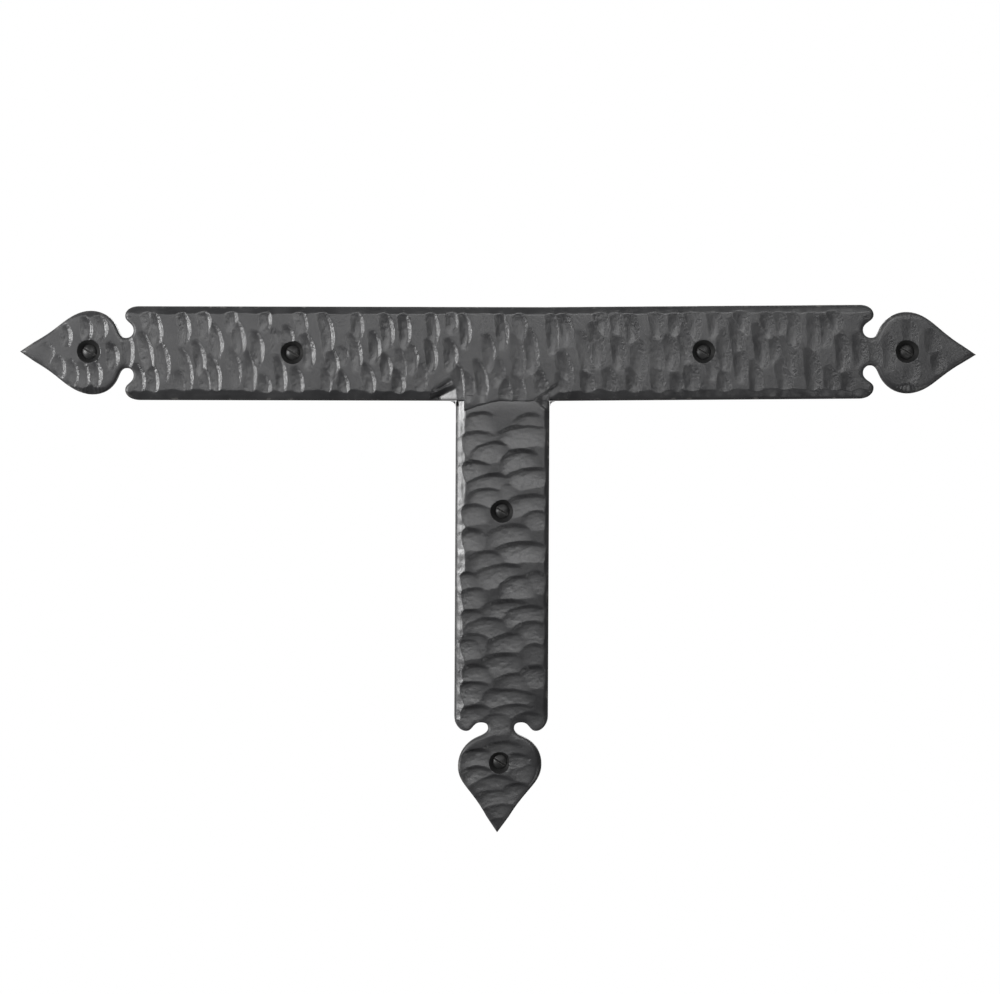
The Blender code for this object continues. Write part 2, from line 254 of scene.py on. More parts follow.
def outline_of(bm):
    """The corners of the sheet's one face, as an array of (x, z), counter-clockwise."""
    corners = np.array([(v.co.x, v.co.z) for v in bm.faces[:][0].verts])
    ahead = np.roll(corners, -1, axis=0)
    area = (corners[:, 0] * ahead[:, 1] - ahead[:, 0] * corners[:, 1]).sum()
    return corners if area > 0 else corners[::-1]


def slice_sheet(bm, axis, places):
    """Cut the sheet right across at each place along the axis, from the lowest to the highest."""
    axis = Vector(axis)
    ahead = bm.faces[:]
    for place in places:
        verts = {vert for face in ahead for vert in face.verts}
        edges = {edge for face in ahead for edge in face.edges}
        cut = bmesh.ops.bisect_plane(
            bm, geom=ahead + list(edges) + list(verts), dist=CLOSE, plane_co=axis * place, plane_no=axis
        )
        faces = {item for item in cut["geom"] if isinstance(item, bmesh.types.BMFace)}
        faces |= {face for face in ahead if face.is_valid}
        ahead = [face for face in faces if face.calc_center_median().dot(axis) > place]


def graded(low, high, margin):
    """Places from low to high: fine steps within the margin of each end, coarser ones between."""
    places = [low + GRID]
    while places[-1] < high - GRID:
        near = min(places[-1] - low, high - places[-1]) < margin
        places.append(places[-1] + (GRID if near else COARSE_GRID))
    return places


def nearest_edge(points, outline):
    """For each point, its distance to the outline, and the outward normal of the edge there."""
    best = np.full(len(points), 1e9)
    normal = np.zeros_like(points)
    for start, end in zip(outline, np.roll(outline, -1, axis=0)):
        run = end - start
        length = np.hypot(*run)
        along = np.clip((points - start) @ run / length**2, 0, 1)
        gap = np.hypot(*(points - start - along[:, None] * run).T)
        closer = gap < best
        best[closer] = gap[closer]
        normal[closer] = (run[1] / length, -run[0] / length)
    return best, normal


def wander(points, lump, seed):
    """A smooth random height between -1 and 1 over the face, in lumps of that size."""
    return np.array([noise.noise(Vector((x, z, seed))) for x, z in points / lump])


def scoop(points, blow, ripple):
    """How deep one blow has sunk each point, and how near each is to the top of its steep side."""
    dx, dz = points[:, 0] - blow.x, points[:, 1] - blow.z
    c, s = math.cos(blow.heading), math.sin(blow.heading)
    across = (dx * c + dz * s) / blow.half_width
    along = (dz * c - dx * s) / blow.half_length
    ends = np.clip(np.abs(along), 0, 1) ** 2.3
    place = (across + 1 + blow.bow * along**2) / (1 - 0.5 * blow.pinch * ends) - 1 + 0.06 * ripple
    rise = np.clip((place + 1) / (blow.skew + 1), 0, 1)
    gentle = 0.3 * rise**2 * (3 - 2 * rise) + 0.7 * (1 - (1 - rise) ** 2)
    up_the_wall = np.clip(place - blow.skew, 0, None) / (1 - blow.skew)
    profile = np.where(place < blow.skew, gentle, 1 - up_the_wall**1.3)
    return blow.depth * np.clip(profile, 0, 1) * (1 - ends) ** 1.1, np.clip(2 * up_the_wall, 0, 1)


def hammer(points, blows):
    """The depth of all the blows together, and where their steep sides are."""
    ripple = wander(points, 0.0030, 7.7) + 0.9 * wander(points, 0.0013, 8.7)
    sunk, walls = np.zeros(len(points)), np.zeros(len(points))
    for blow in blows:
        reach = max(blow.half_length, blow.half_width) * 1.5
        near = (abs(points[:, 0] - blow.x) < reach) & (abs(points[:, 1] - blow.z) < reach)
        depth, wall = scoop(points[near], blow, ripple[near])
        walls[near] = np.where(depth > sunk[near], wall, walls[near])
        sunk[near] = np.maximum(sunk[near], depth)
    return sunk * (1 + 0.05 * ripple) + 0.00006 * walls * (1 + wander(points, 0.0012, 12.5)), walls


BEVEL_SLOPE = 0.46
TOP_BEVEL = 0.0034
BOTTOM_BEVEL = 0.0044
FINIAL_TOP_BEVEL = 0.0032
FINIAL_BOTTOM_BEVEL = 0.0046
PLAIN_EDGE = 0.0006
NOTCH_EDGE = 0.0005
FINIAL_START = 0.200


def crossbar_bevel(points, normal):
    """How wide the hammered bevel is beside each point: broadest along the lower edge."""
    x, z = points[:, 0], points[:, 1]
    up, down = np.clip(normal[:, 1], 0, 1) ** 2, np.clip(-normal[:, 1], 0, 1) ** 2
    finial = np.abs(x) > FINIAL_START
    towards_tip = np.clip(1 - 1.5 * np.abs(normal[:, 0]), 0.1, 1)
    on_finial = (FINIAL_TOP_BEVEL * up + FINIAL_BOTTOM_BEVEL * down) * towards_tip
    width = np.where(finial, on_finial, TOP_BEVEL * up + BOTTOM_BEVEL * down)
    width = PLAIN_EDGE + width
    notch = (np.abs(x) > 0.1925) & (np.abs(x) < 0.2040) & (np.abs(z) < 0.0185)
    width = np.where(notch, NOTCH_EDGE, width)
    over_leg = (z < -0.015) & (x > leg_low.x - 0.0002) & (x < leg_high.x + 0.0002)
    in_corner = (z < -0.015) & (x > -0.0360) & (x < leg_low.x)
    width = np.where(in_corner, width * np.clip((-0.0305 - x) / 0.0035, 0, 1), width)
    return np.where(over_leg, 0, width)


def groove(points, start, end, width, depth):
    """A narrow round-bottomed groove along a line from start to end, all in mm."""
    start, run = np.array(start) * MM, (np.array(end) - np.array(start)) * MM
    along = np.clip((points - start) @ run / (run @ run), 0, 1)
    gap = np.hypot(*(points - start - along[:, None] * run).T)
    faded = np.sin(np.pi * np.clip(along, 0.08, 0.92)) ** 0.5
    return depth * MM * faded * np.exp(-((gap / (width * MM)) ** 2))


FLAT_SLOPE = 0.46
FLAT_DEPTH = 0.0054
WEDGE_SLOPE = 0.30
WEDGE_START = 0.0186


def left_corner_cut(points):
    """The grinder's flat in the left inner corner, which faces left, with its wall above it."""
    x, z = points[:, 0], points[:, 1]
    flat = 0.0003 + FLAT_SLOPE * np.clip(-0.0212 - x, 0, 0.0125)
    brow = z - (-0.0186 + 0.44 * (x + 0.0222))
    wall = np.clip(1 - brow / (0.0010 + 0.25 * np.clip(-0.0200 - x, 0, 0.008)), 0, 1)
    near = (x > -0.0362) & (x < -0.0210) & (z < -0.0100)
    crack = groove(points, (-34, -20.5), (-25.5, -15.2), 0.8, 1.8)
    return np.maximum(np.minimum(flat, FLAT_DEPTH) * wall * near, crack)


def right_corner_cut(points):
    """The wedge in the right inner corner, struck into both bars and opening to the right."""
    x, z = points[:, 0], points[:, 1]
    into = np.clip(x - WEDGE_START, 0, None)
    inside = np.clip((0.68 * into - np.abs(z + 0.0253)) / 0.0012 + 0.4, 0, 1)
    return WEDGE_SLOPE * np.minimum(into, 0.0050) * inside * np.clip((0.0340 - x) / 0.0060, 0, 1)


LEG_BEVEL = 0.0058
BEAD_SEAT_TOP = -0.0236
BEAD_SEAT_DEPTH = 0.0010


def seam_cut(points):
    """The crossbar drops under the weld's metal, which hides it there."""
    over_leg = (points[:, 0] > leg_low.x + LEG_BEVEL) & (points[:, 0] < leg_high.x)
    return np.where(over_leg & (points[:, 1] < BEAD_SEAT_TOP), BEAD_SEAT_DEPTH, 0)


def bar_scratches(points):
    """Nine short strokes beside the crossbar's left screw, where the wire brush skidded."""
    rng = random.Random(12)
    sunk = np.zeros(len(points))
    for _ in range(9):
        x = rng.uniform(-121, -114)
        z = rng.uniform(1, 10)
        reach = rng.uniform(2.5, 5.0)
        sunk = np.maximum(sunk, groove(points, (x, z), (x + 0.35 * reach, z + reach), 0.40, 0.32))
    return sunk


def unevenness(points):
    """What is left of the rolled bar's flatness: long low waves, and the fine skin of the scale."""
    return (
        0.00006 * (1 + wander(points, 0.022, 5.5)) + 0.00003 * (1 + wander(points, 0.007, 6.5))
        + 0.000012 * (1 + wander(points, 0.0016, 9.5))
    )


EDGE_ROUNDING = 0.0009
EDGE_REACH = 0.0007
ARRIS_REACH = 0.0009
DEEPEST = 0.0054


def forge_face(bm, outline, blows, bevel, cuts):
    """Sink the sheet's points under the hammer: the blows, the bevels, the cuts and the waves."""
    points = np.array([(v.co.x, v.co.z) for v in bm.verts])
    gap, normal = nearest_edge(points, outline)
    marks, walls = hammer(points, blows)
    width = bevel(points, normal)
    ragged = width * (1 + 0.16 * wander(points, 0.014, 3.5) + 0.08 * wander(points, 0.004, 4.5))
    slant = BEVEL_SLOPE * (ragged - gap)
    streaks = 0.00007 * wander(np.column_stack((gap * 10, points.sum(axis=1))), 0.010, 11.5)
    sunk = np.maximum(marks, slant + streaks * (slant > 0))
    for cut in cuts:
        sunk = np.maximum(sunk, cut(points))
    sunk += EDGE_ROUNDING * np.exp(-gap / EDGE_REACH) * (width > 0) + unevenness(points)
    struck = bm.verts.layers.float.new("struck")
    arris = bm.verts.layers.float.new("arris")
    near_edge = np.exp(-((gap / ARRIS_REACH) ** 2))
    for vert, depth, wall, edge in zip(bm.verts, sunk, walls, near_edge):
        vert.co.y += min(max(0, depth), DEEPEST)
        vert[struck] = wall
        vert[arris] = edge


def add_walls(bm, back):
    """Draw the sheet's rim back to make the bar's sides, and close the flat back."""
    rim = [edge for edge in bm.edges if edge.is_boundary]
    arris = bm.verts.layers.float["arris"]
    for share, lift in ((0.4, 0), (1, -0.0004), (1, 0)):
        walls = bmesh.ops.extrude_edge_only(bm, edges=rim)["geom"]
        rim = [item for item in walls if isinstance(item, bmesh.types.BMEdge)]
        for vert in {vert for edge in rim for vert in edge.verts}:
            vert.co.y += (back - vert.co.y) * share + lift
            vert[arris] = 0.3 if share < 1 else 0.6
    bmesh.ops.edgeloop_fill(bm, edges=rim)
    bmesh.ops.recalc_face_normals(bm, faces=bm.faces)


def mesh_object(name, bm, materials=()):
    """Turn the worked mesh into an object of the scene, with these materials."""
    mesh = bpy.data.meshes.new(name)
    bm.to_mesh(mesh)
    bm.free()
    for material in materials:
        mesh.materials.append(material)
    made = bpy.data.objects.new(name, mesh)
    bpy.context.scene.collection.objects.link(made)
    return made


def cut_away(piece, cutter):
    """Cut the cutter's shape out, and give the cut faces the piece's second material, which on the bars is
    the painted shade of the recesses.
    """
    for material in piece.data.materials:
        cutter.data.materials.append(material)
    for face in cutter.data.polygons:
        face.material_index = 1
    boolean = piece.modifiers.new("cut", "BOOLEAN")
    boolean.object = cutter
    boolean.solver = "EXACT"
    evaluated = piece.evaluated_get(bpy.context.evaluated_depsgraph_get())
    whole = bpy.data.meshes.new_from_object(evaluated)
    piece.modifiers.clear()
    piece.data = whole
    bpy.data.objects.remove(cutter)


COUNTERSINK_RADIUS = 0.0063
HOLE_RADIUS = 0.00245
CONE = math.tan(math.radians(41))
ROUND = 64


def turned(bm, profile):
    """Turn a profile of (radius, depth) points about the Y axis, and return its vertices."""
    verts = [bm.verts.new((radius, depth, 0)) for radius, depth in profile]
    edges = [bm.edges.new(pair) for pair in zip(verts, verts[1:])]
    before = set(bm.verts) - set(verts)
    bmesh.ops.spin(
        bm, geom=verts + edges, cent=(0, 0, 0), axis=(0, 1, 0), angle=math.tau, steps=ROUND, use_merge=True
    )
    made = [vert for vert in bm.verts if vert not in before]
    bmesh.ops.remove_doubles(bm, verts=made, dist=CLOSE)
    return [vert for vert in bm.verts if vert not in before]


def drill(piece, screws):
    """Drill the piece for each screw, with a conical seat for its head."""
    over = 0.001
    neck = (COUNTERSINK_RADIUS - HOLE_RADIUS) / CONE
    profile = (
        (0, -over), (COUNTERSINK_RADIUS + over * CONE, -over), (HOLE_RADIUS, neck),
        (HOLE_RADIUS, 0.02), (0, 0.02),
    )
    holes = bmesh.new()
    for screw in screws:
        low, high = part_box(screw)
        middle = ((low.x + high.x) / 2, bar_low.y, (low.z + high.z) / 2)
        bmesh.ops.translate(holes, verts=turned(holes, profile), vec=middle)
    bmesh.ops.recalc_face_normals(holes, faces=holes.faces)
    # The countersink and hole walls take the piece's second material: painted shade, a darker black
    # standing in for the shade in them.
    cut_away(piece, mesh_object("holes", holes))


def finish_piece(piece, body, node):
    """Shade it smooth but for its sharp edges, and put it in the place of the design's solid."""
    piece.data.shade_smooth()
    piece.data.set_sharp_from_angle(angle=math.radians(40))
    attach(piece, body)
    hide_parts(node)


def noise_node(nodes, scale, detail, roughness=0.5):
    made = nodes.new("ShaderNodeTexNoise")
    made.inputs["Scale"].default_value = scale
    made.inputs["Detail"].default_value = detail
    made.inputs["Roughness"].default_value = roughness
    return made


def forged_iron():
    """Black oil and waxes burnt on to hammered steel: uneven in gloss, pitted where struck, dull
    along the arrises, and rubbed to grey in a few places on them."""
    material = bpy.data.materials.new("forged_iron")
    material.use_nodes = True
    nodes, links = material.node_tree.nodes, material.node_tree.links
    shader = nodes["Principled BSDF"]
    place = nodes.new("ShaderNodeTexCoord")
    patches = noise_node(nodes, 75, 5)
    grain = noise_node(nodes, 1700, 4, 0.6)
    pits = noise_node(nodes, 640, 4, 0.6)
    rubs = noise_node(nodes, 260, 3)
    colour = nodes.new("ShaderNodeValToRGB")
    colour.color_ramp.elements[0].color = (0.016, 0.016, 0.017, 1)
    colour.color_ramp.elements[0].position = 0.3
    colour.color_ramp.elements[1].color = (0.030, 0.030, 0.031, 1)
    colour.color_ramp.elements[1].position = 0.7
    gloss = nodes.new("ShaderNodeMapRange")
    gloss.inputs["From Min"].default_value = 0.3
    gloss.inputs["From Max"].default_value = 0.7
    gloss.inputs["To Min"].default_value = 0.30
    gloss.inputs["To Max"].default_value = 0.40
    struck = nodes.new("ShaderNodeAttribute")
    struck.attribute_name = "struck"
    roughened = nodes.new("ShaderNodeMapRange")
    roughened.inputs["To Min"].default_value = 0.16
    roughened.inputs["To Max"].default_value = 0.90
    arris = nodes.new("ShaderNodeAttribute")
    arris.attribute_name = "arris"
    dulled = nodes.new("ShaderNodeMapRange")
    dulled.inputs["To Min"].default_value = 0.0
    dulled.inputs["To Max"].default_value = 0.40
    sheen = nodes.new("ShaderNodeMath")
    sheen.operation = "ADD"
    rubbed = nodes.new("ShaderNodeMapRange")
    rubbed.inputs["From Min"].default_value = 0.60
    rubbed.inputs["From Max"].default_value = 0.66
    worn = nodes.new("ShaderNodeMath")
    worn.operation = "MULTIPLY"
    bare = nodes.new("ShaderNodeMix")
    bare.data_type = "RGBA"
    bare.inputs["B"].default_value = (0.10, 0.097, 0.092, 1)
    skin = nodes.new("ShaderNodeBump")
    skin.inputs["Strength"].default_value = 0.22
    skin.inputs["Distance"].default_value = 0.0001
    pitting = nodes.new("ShaderNodeBump")
    pitting.inputs["Distance"].default_value = 0.00050
    for texture in (patches, grain, pits, rubs):
        links.new(place.outputs["Object"], texture.inputs["Vector"])
    links.new(patches.outputs["Fac"], colour.inputs["Fac"])
    links.new(patches.outputs["Fac"], gloss.inputs["Value"])
    links.new(struck.outputs["Fac"], roughened.inputs["Value"])
    links.new(roughened.outputs["Result"], pitting.inputs["Strength"])
    links.new(pits.outputs["Fac"], pitting.inputs["Height"])
    links.new(pitting.outputs["Normal"], skin.inputs["Normal"])
    links.new(grain.outputs["Fac"], skin.inputs["Height"])
    links.new(rubs.outputs["Fac"], rubbed.inputs["Value"])
    links.new(rubbed.outputs["Result"], worn.inputs[0])
    links.new(arris.outputs["Fac"], worn.inputs[1])
    links.new(worn.outputs["Value"], bare.inputs["Factor"])
    links.new(colour.outputs["Color"], bare.inputs["A"])
    links.new(arris.outputs["Fac"], dulled.inputs["Value"])
    links.new(bare.outputs["Result"], shader.inputs["Base Color"])
    links.new(gloss.outputs["Result"], sheen.inputs[0])
    links.new(dulled.outputs["Result"], sheen.inputs[1])
    links.new(sheen.outputs["Value"], shader.inputs["Roughness"])
    links.new(skin.outputs["Normal"], shader.inputs["Normal"])
    return material


def recess_painted_shade():
    """Painted shade for the countersinks and the groove at the back: a darker, duller black than on the
    open face, standing in for the shade in these recesses.
    """
    material = bpy.data.materials.new("recess_painted_shade")
    material.use_nodes = True
    nodes, links = material.node_tree.nodes, material.node_tree.links
    shader = nodes["Principled BSDF"]
    shader.inputs["Specular IOR Level"].default_value = 0.10
    place = nodes.new("ShaderNodeTexCoord")
    patches = noise_node(nodes, 400, 4)
    colour = nodes.new("ShaderNodeValToRGB")
    # A near-black base colour: painted shade for the recesses, not a colour of the iron.
    colour.color_ramp.elements[0].color = (0.004, 0.004, 0.004, 1)
    colour.color_ramp.elements[1].color = (0.012, 0.012, 0.012, 1)
    gloss = nodes.new("ShaderNodeMapRange")
    gloss.inputs["To Min"].default_value = 0.50
    gloss.inputs["To Max"].default_value = 0.70
    links.new(place.outputs["Object"], patches.inputs["Vector"])
    links.new(patches.outputs["Fac"], colour.inputs["Fac"])
    links.new(patches.outputs["Fac"], gloss.inputs["Value"])
    links.new(colour.outputs["Color"], shader.inputs["Base Color"])
    links.new(gloss.outputs["Result"], shader.inputs["Roughness"])
    return material


iron = forged_iron()
# The darker, duller black of the countersinks and the back groove is painted shade.
painted_shade = recess_painted_shade()
CROSSBAR_SCREWS = ("left_finial_screw", "left_bar_screw", "right_bar_screw", "right_finial_screw")
bar_marks = crossbar_blows()
sheet = bar_sheet("crossbar", CROSSBAR_SCREWS)
bar_outline = outline_of(sheet)
slice_sheet(sheet, (1, 0, 0), np.arange(bar_low.x + GRID, bar_high.x, GRID))
slice_sheet(sheet, (0, 0, 1), graded(bar_low.z, bar_high.z, 0.0075))
bar_cuts = (left_corner_cut, right_corner_cut, seam_cut, bar_scratches)
forge_face(sheet, bar_outline, bar_marks, crossbar_bevel, bar_cuts)
add_walls(sheet, bar_high.y)
crossbar = mesh_object("hammered_crossbar", sheet, (iron, painted_shade))
drill(crossbar, CROSSBAR_SCREWS)
finish_piece(crossbar, "strap", "crossbar")


# ---- The leg ---------------------------------------------------------------------------------
# A shorter length of the same bar, stood on end under the crossbar, with a spear on its foot.
# It was struck across its own width, so its marks lie level, each with its steep side on top.

# The left and right ends of each mark, the height of its steep edge, and how deep it bit, in the
# same measures.
LEG_BLOWS = (
    (-16, -4, -31, 5), (11, 22, -32, 4), (-20, -4, -41, 6), (2, 24, -38, 6), (-13, 4, -47, 6),
    (3, 19, -51, 7), (-20, -6, -57, 7), (5, 25, -61, 7), (-15, 5, -64, 6), (-14, 1, -71, 6),
    (-1, 9, -68, 3), (-20, -7, -80, 6), (6, 25, -75, 6), (15, 25, -83, 4), (-20, -9, -93, 7),
    (-4, 16, -91, 5), (0, 25, -100, 7), (-14, 2, -105, 6), (-12, 11, -112, 7), (-23, -12, -116, 7),
    (2, 18, -118, 7), (14, 25, -116, 4), (-20, -8, -124, 6), (-8, 14, -131, 6), (2, 24, -134, 6),
    (-20, -9, -136, 6), (-18, 3, -140, 6), (10, 24, -142, 6), (-20, -6, -148, 6), (-22, -10, -151, 8),
    (-6, 15, -149, 6), (14, 23, -154, 3), (-9, 11, -159, 6), (-20, -5, -165, 7), (13, 24, -166, 6),
    (0, 16, -170, 5), (-24, -6, -174, 8), (-10, 17, -178, 7), (-21, -5, -187, 8), (-4, 17, -186, 6),
    (-10, 8, -191, 6), (7, 22, -190, 6), (-7, 12, -206, 7), (-18, -4, -210, 9), (-18, -5, -219, 10),
    (4, 15, -212, 9), (6, 17, -217, 5), (-14, 8, -224, 8), (3, 15, -228, 8), (-12, 7, -231, 8),
    (-8, 9, -239, 6), (-5, 5, -246, 5),
)


def leg_blows():
    """The leg's marks in metres, wider than the crossbar's, with their steep side on top."""
    rng = random.Random(9)
    blows = []
    for left, right, top, bite in LEG_BLOWS:
        half_length = (right - left) / 2 + 2.5
        half_width = min(rng.uniform(5.6, 6.8), 3.0 + half_length * 0.40)
        heading = math.pi / 2 + math.radians(rng.gauss(6, 3))
        x = (left + right) / 2
        z = top - half_width
        skew = rng.uniform(0.62, 0.74)
        depth = bite * 0.190
        bow = rng.uniform(0.08, 0.22)
        blows.append(
            Blow(x * MM, z * MM, half_length * MM, half_width * MM, heading, depth * MM, skew, bow, 0.50)
        )
    return blows


def leg_bevel(points, normal):
    """Wide on the left side down to the foot's spear, and narrow on the right."""
    x, z = points[:, 0], points[:, 1]
    left, right = np.clip(-normal[:, 0], 0, 1) ** 2, np.clip(normal[:, 0], 0, 1) ** 2
    beside_corner = np.clip((z + 0.040) / 0.012, 0, 1)
    left_width = np.where(z > -0.195, LEG_BEVEL - 0.0008 + 0.0012 * beside_corner, 0.0003)
    width = 0.0004 + left * left_width + right * 0.0020
    notch = (z < -0.1945) & (z > -0.2055) & (np.abs(x - 0.001) < 0.0180)
    return np.where(notch, 0.0005, width)


def weld_edge(x):
    """The height at which the weld's metal ends on the leg: lower on the left."""
    return leg_high.z - 0.0002 - 0.0050 * np.clip(-x / 0.0175, 0, 1) ** 1.3


def weld_toe(points):
    """The leg's face lies a little lower beside the weld, and rises to its own level."""
    below = weld_edge(points[:, 0]) - points[:, 1]
    return 0.00035 * np.exp(-np.clip(below, 0, None) / 0.0035) * (points[:, 0] > leg_low.x + LEG_BEVEL)


LEG_SCREWS = ("leg_screw", "foot_finial_screw")
leg_marks = leg_blows()
sheet = bar_sheet("leg", LEG_SCREWS)
leg_outline = outline_of(sheet)
leg_outline[leg_outline[:, 1] > leg_high.z - 0.0001, 1] += 0.03
slice_sheet(sheet, (0, 0, 1), np.arange(leg_low.z + GRID, leg_high.z, GRID))
slice_sheet(sheet, (1, 0, 0), graded(leg_low.x, leg_high.x, 0.0075))
forge_face(sheet, leg_outline, leg_marks, leg_bevel, (right_corner_cut, weld_toe))
add_walls(sheet, leg_high.y)
leg = mesh_object("hammered_leg", sheet, (iron, painted_shade))
drill(leg, LEG_SCREWS)
finish_piece(leg, "strap", "leg")


# ---- The seam welds ----------------------------------------------------------------------------
# The two bars are welded along their seam with steel filler. The front bead was laid over on to
# the leg and hammered with the bars. The back one fills a V and was ground flush, and a small
# fillet closes each end of the seam.

WELD_TOP = -0.0222
WELD_THICKNESS = 0.0012
WELD_GRID = 0.00040
WELD_ROWS = 20


def front_bead():
    """A strip over the seam, sunk by the same blows as the bars and proud of the leg at its toe."""
    left, right = leg_low.x + LEG_BEVEL - 0.0006, leg_high.x - 0.0006
    bm = bmesh.new()
    columns = int((right - left) / WELD_GRID)
    bmesh.ops.create_grid(bm, x_segments=columns, y_segments=WELD_ROWS, size=0.5)
    for vert in bm.verts:
        x = left + (vert.co.x + 0.5) * (right - left)
        share = 0.5 - vert.co.y
        vert.co = (x, bar_low.y, WELD_TOP + (weld_edge(np.array(x)) - WELD_TOP) * share)
    points = np.array([(v.co.x, v.co.z) for v in bm.verts])
    toe = weld_edge(points[:, 0]) + 0.0004 * wander(points, 0.003, 2.5)
    marks = hammer(points, bar_marks + leg_marks)[0]
    sunk = np.maximum(marks, right_corner_cut(points)) + unevenness(points)
    sunk += 0.00035 * np.clip((points[:, 1] - WELD_TOP) / 0.0004 + 1, 0, 1) - 0.00004
    sunk += 0.0004 * np.exp(-np.clip(points[:, 1] - toe, 0, None) / 0.0003)
    for vert, depth in zip(bm.verts, sunk):
        vert.co.y += max(0, depth)
    for face in bm.faces:
        if face.normal.y > 0:
            face.normal_flip()
    rim = [edge for edge in bm.edges if edge.is_boundary]
    walls = bmesh.ops.extrude_edge_only(bm, edges=rim)["geom"]
    far = [item for item in walls if isinstance(item, bmesh.types.BMVert)]
    far_rim = [item for item in walls if isinstance(item, bmesh.types.BMEdge)]
    bmesh.ops.translate(bm, verts=far, vec=(0, WELD_THICKNESS, 0))
    bmesh.ops.edgeloop_fill(bm, edges=far_rim)
    bmesh.ops.recalc_face_normals(bm, faces=bm.faces)
    return mesh_object("front_weld_bead", bm, (iron,))


finish_piece(front_bead(), "strap", "front_weld")


GROOVE_HALF = 0.0025


def seam_groove():
    """The V ground along the back of the seam, as a bar set on edge across both pieces."""
    side = GROOVE_HALF * math.sqrt(2)
    seam = Vector(((leg_low.x + leg_high.x) / 2, bar_high.y, (bar_low.z + leg_high.z) / 2))
    place = Matrix.Translation(seam) @ Matrix.Rotation(math.pi / 4, 4, "X")
    shape = Matrix.Diagonal((leg_high.x - leg_low.x, side, side, 1))
    bm = bmesh.new()
    bmesh.ops.create_cube(bm, size=1, matrix=place @ shape)
    return mesh_object("seam_groove", bm)


# The groove's faces take the bars' second material, the same painted shade as the countersinks.
cut_away(crossbar, seam_groove())
cut_away(leg, seam_groove())

for name in ("back_weld", "left_corner_weld", "right_corner_weld"):
    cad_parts[name].data.materials.clear()
    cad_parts[name].data.materials.append(iron)


# ---- The screws --------------------------------------------------------------------------------
# Six number 8 wood screws with slotted oval heads, turned and thread-rolled from steel wire and
# blackened. Each sits in its countersink, a little below the bar's face.

HEAD_RADIUS = 0.00375
HEAD_DOME = 0.0013
SHANK_RADIUS = 0.00205
THREAD_ROOT = 0.0015
THREAD_PITCH = 0.00169
THREAD_START = 0.0106
POINT_LENGTH = 0.0065
SLOT_WIDTH = 0.0011
SLOT_DEPTH = 0.0016
SLOT_TURN = math.radians(32)
THREAD_STEPS = 28


def screw_blank(bm):
    """The head and the plain shank, turned about the Y axis, with the head's rim at zero."""
    dome = (HEAD_RADIUS**2 + HEAD_DOME**2) / (2 * HEAD_DOME)
    half_arc = math.asin(HEAD_RADIUS / dome)
    profile = []
    for step in range(13):
        angle = half_arc * step / 12
        profile.append((dome * math.sin(angle), dome * (1 - math.cos(angle)) - HEAD_DOME))
    profile += [
        (HEAD_RADIUS, 0.00012), (SHANK_RADIUS + 0.0002, (HEAD_RADIUS - SHANK_RADIUS) / CONE),
        (SHANK_RADIUS, (HEAD_RADIUS - SHANK_RADIUS) / CONE + 0.0005), (SHANK_RADIUS, THREAD_START),
        (THREAD_ROOT, THREAD_START + 0.0006), (0, THREAD_START + 0.0006),
    ]
    turned(bm, profile)


def screw_thread(bm, length):
    """The thread: a ridge rolled round the tapering core, as one helical skin, closed at its ends."""
    before = set(bm.verts)
    turns = math.ceil((length - THREAD_START) / THREAD_PITCH) + 2
    start = THREAD_START - THREAD_PITCH * 1.5
    profile = (
        (THREAD_ROOT, 0), (SHANK_RADIUS, 0.45), (SHANK_RADIUS, 0.55), (THREAD_ROOT, 0.9), (THREAD_ROOT, 1),
    )
    verts = [bm.verts.new((radius, start + height * THREAD_PITCH, 0)) for radius, height in profile]
    edges = [bm.edges.new(pair) for pair in zip(verts, verts[1:])]
    bmesh.ops.spin(
        bm, geom=verts + edges, cent=(0, 0, 0), axis=(0, 1, 0), dvec=(0, THREAD_PITCH / THREAD_STEPS, 0),
        angle=math.tau * turns, steps=THREAD_STEPS * turns,
    )
    made = [vert for vert in bm.verts if vert not in before]
    bmesh.ops.remove_doubles(bm, verts=made, dist=0.000005)
    for vert in [vert for vert in bm.verts if vert not in before]:
        taper = min(1, max(0.06, (length - vert.co.y) / POINT_LENGTH))
        vert.co.x *= taper
        vert.co.z *= taper
    for height, side in ((THREAD_START, -1), (length, 1)):
        made = {vert for vert in bm.verts if vert not in before}
        faces = [face for face in bm.faces if all(vert in made for vert in face.verts)]
        edges = {edge for face in faces for edge in face.edges}
        bmesh.ops.bisect_plane(
            bm, geom=list(made) + list(edges) + faces, dist=0.000005, plane_co=(0, height, 0),
            plane_no=(0, side, 0), clear_outer=True,
        )
    bmesh.ops.holes_fill(bm, edges=[edge for edge in bm.edges if edge.is_boundary], sides=0)


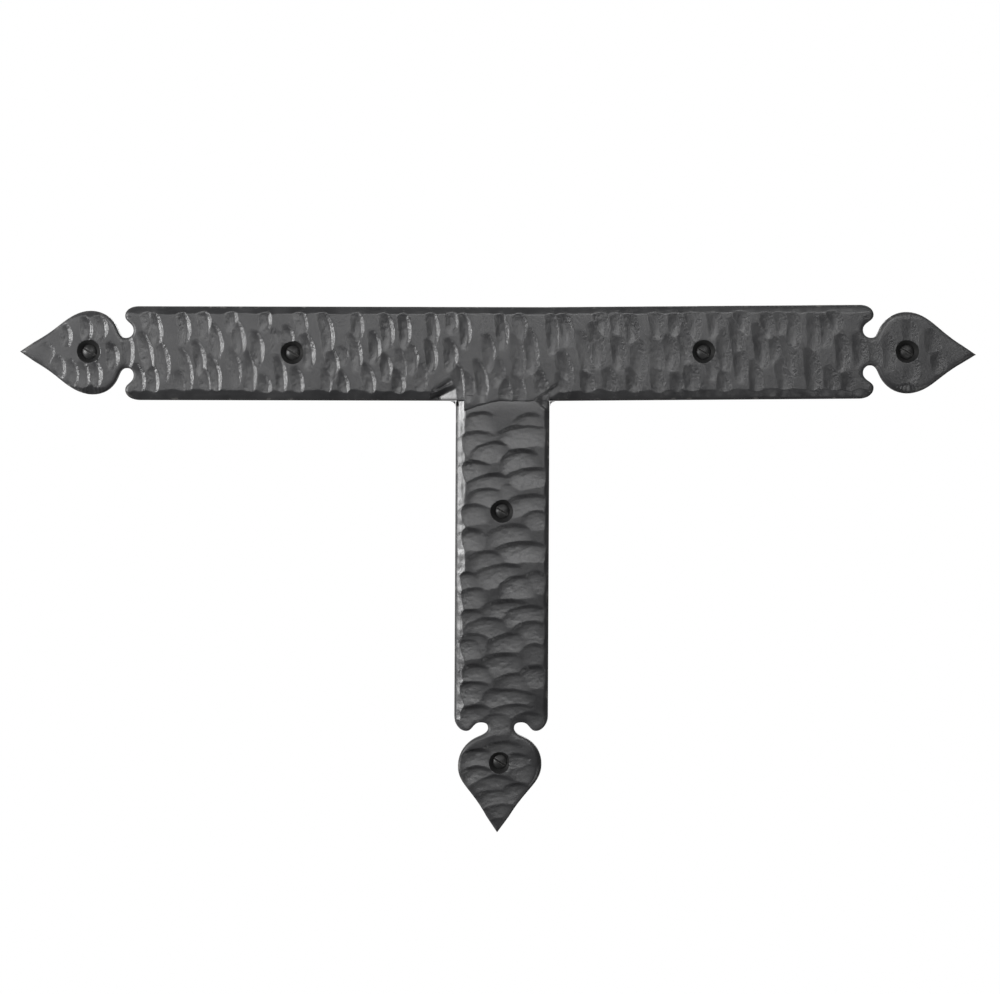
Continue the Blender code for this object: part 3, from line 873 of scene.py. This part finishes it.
def make_screw(name):
    """One screw in its place: the turned blank, slotted, its sharp edges eased, and threaded."""
    low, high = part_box(name)
    rim = low.y + HEAD_DOME
    blank = bmesh.new()
    screw_blank(blank)
    bmesh.ops.recalc_face_normals(blank, faces=blank.faces)
    head = mesh_object(name + "_finished", blank, (steel, steel))
    slot = bmesh.new()
    shape = Matrix.Diagonal((HEAD_RADIUS * 3, SLOT_DEPTH * 2, SLOT_WIDTH, 1))
    place = Matrix.Translation((0, -HEAD_DOME, 0)) @ Matrix.Rotation(SLOT_TURN, 4, "Y") @ shape
    bmesh.ops.create_cube(slot, size=1, matrix=place)
    cut_away(head, mesh_object("slot", slot))
    whole = bmesh.new()
    whole.from_mesh(head.data)
    rubbed = whole.verts.layers.float.new("rubbed")
    sharp = [
        edge for edge in whole.edges
        if edge.calc_face_angle(0) > math.radians(50) and max(v.co.y for v in edge.verts) < -0.0002
    ]
    rounded = bmesh.ops.bevel(
        whole, geom=sharp, offset=0.00009, affect="EDGES", segments=2, profile=0.5, material=-1,
        clamp_overlap=True,
    )
    for vert in rounded["verts"]:
        vert[rubbed] = 1
    screw_thread(whole, high.y - rim)
    bmesh.ops.recalc_face_normals(whole, faces=whole.faces)
    bmesh.ops.translate(whole, verts=whole.verts, vec=((low.x + high.x) / 2, rim, (low.z + high.z) / 2))
    whole.to_mesh(head.data)
    whole.free()
    return head


def screw_steel():
    """Blackened wire steel: smoother than the forged bars, rubbed grey at the head's sharp edges."""
    material = bpy.data.materials.new("screw_steel")
    material.use_nodes = True
    nodes, links = material.node_tree.nodes, material.node_tree.links
    shader = nodes["Principled BSDF"]
    place = nodes.new("ShaderNodeTexCoord")
    patches = noise_node(nodes, 500, 4)
    grain = noise_node(nodes, 3000, 3)
    colour = nodes.new("ShaderNodeValToRGB")
    colour.color_ramp.elements[0].color = (0.006, 0.006, 0.006, 1)
    colour.color_ramp.elements[1].color = (0.022, 0.022, 0.022, 1)
    shader.inputs["Specular IOR Level"].default_value = 0.32
    rubbed = nodes.new("ShaderNodeAttribute")
    rubbed.attribute_name = "rubbed"
    worn = nodes.new("ShaderNodeMath")
    worn.operation = "MULTIPLY"
    bare = nodes.new("ShaderNodeMix")
    bare.data_type = "RGBA"
    bare.inputs["B"].default_value = (0.16, 0.155, 0.15, 1)
    gloss = nodes.new("ShaderNodeMapRange")
    gloss.inputs["To Min"].default_value = 0.36
    gloss.inputs["To Max"].default_value = 0.55
    bump = nodes.new("ShaderNodeBump")
    bump.inputs["Strength"].default_value = 0.2
    bump.inputs["Distance"].default_value = 0.00005
    for texture in (patches, grain):
        links.new(place.outputs["Object"], texture.inputs["Vector"])
    links.new(patches.outputs["Fac"], colour.inputs["Fac"])
    links.new(patches.outputs["Fac"], gloss.inputs["Value"])
    links.new(rubbed.outputs["Fac"], worn.inputs[0])
    links.new(patches.outputs["Fac"], worn.inputs[1])
    links.new(worn.outputs["Value"], bare.inputs["Factor"])
    links.new(colour.outputs["Color"], bare.inputs["A"])
    links.new(bare.outputs["Result"], shader.inputs["Base Color"])
    links.new(gloss.outputs["Result"], shader.inputs["Roughness"])
    links.new(grain.outputs["Fac"], bump.inputs["Height"])
    links.new(bump.outputs["Normal"], shader.inputs["Normal"])
    return material


steel = screw_steel()
for name in CROSSBAR_SCREWS + LEG_SCREWS:
    finish_piece(make_screw(name), name, name)
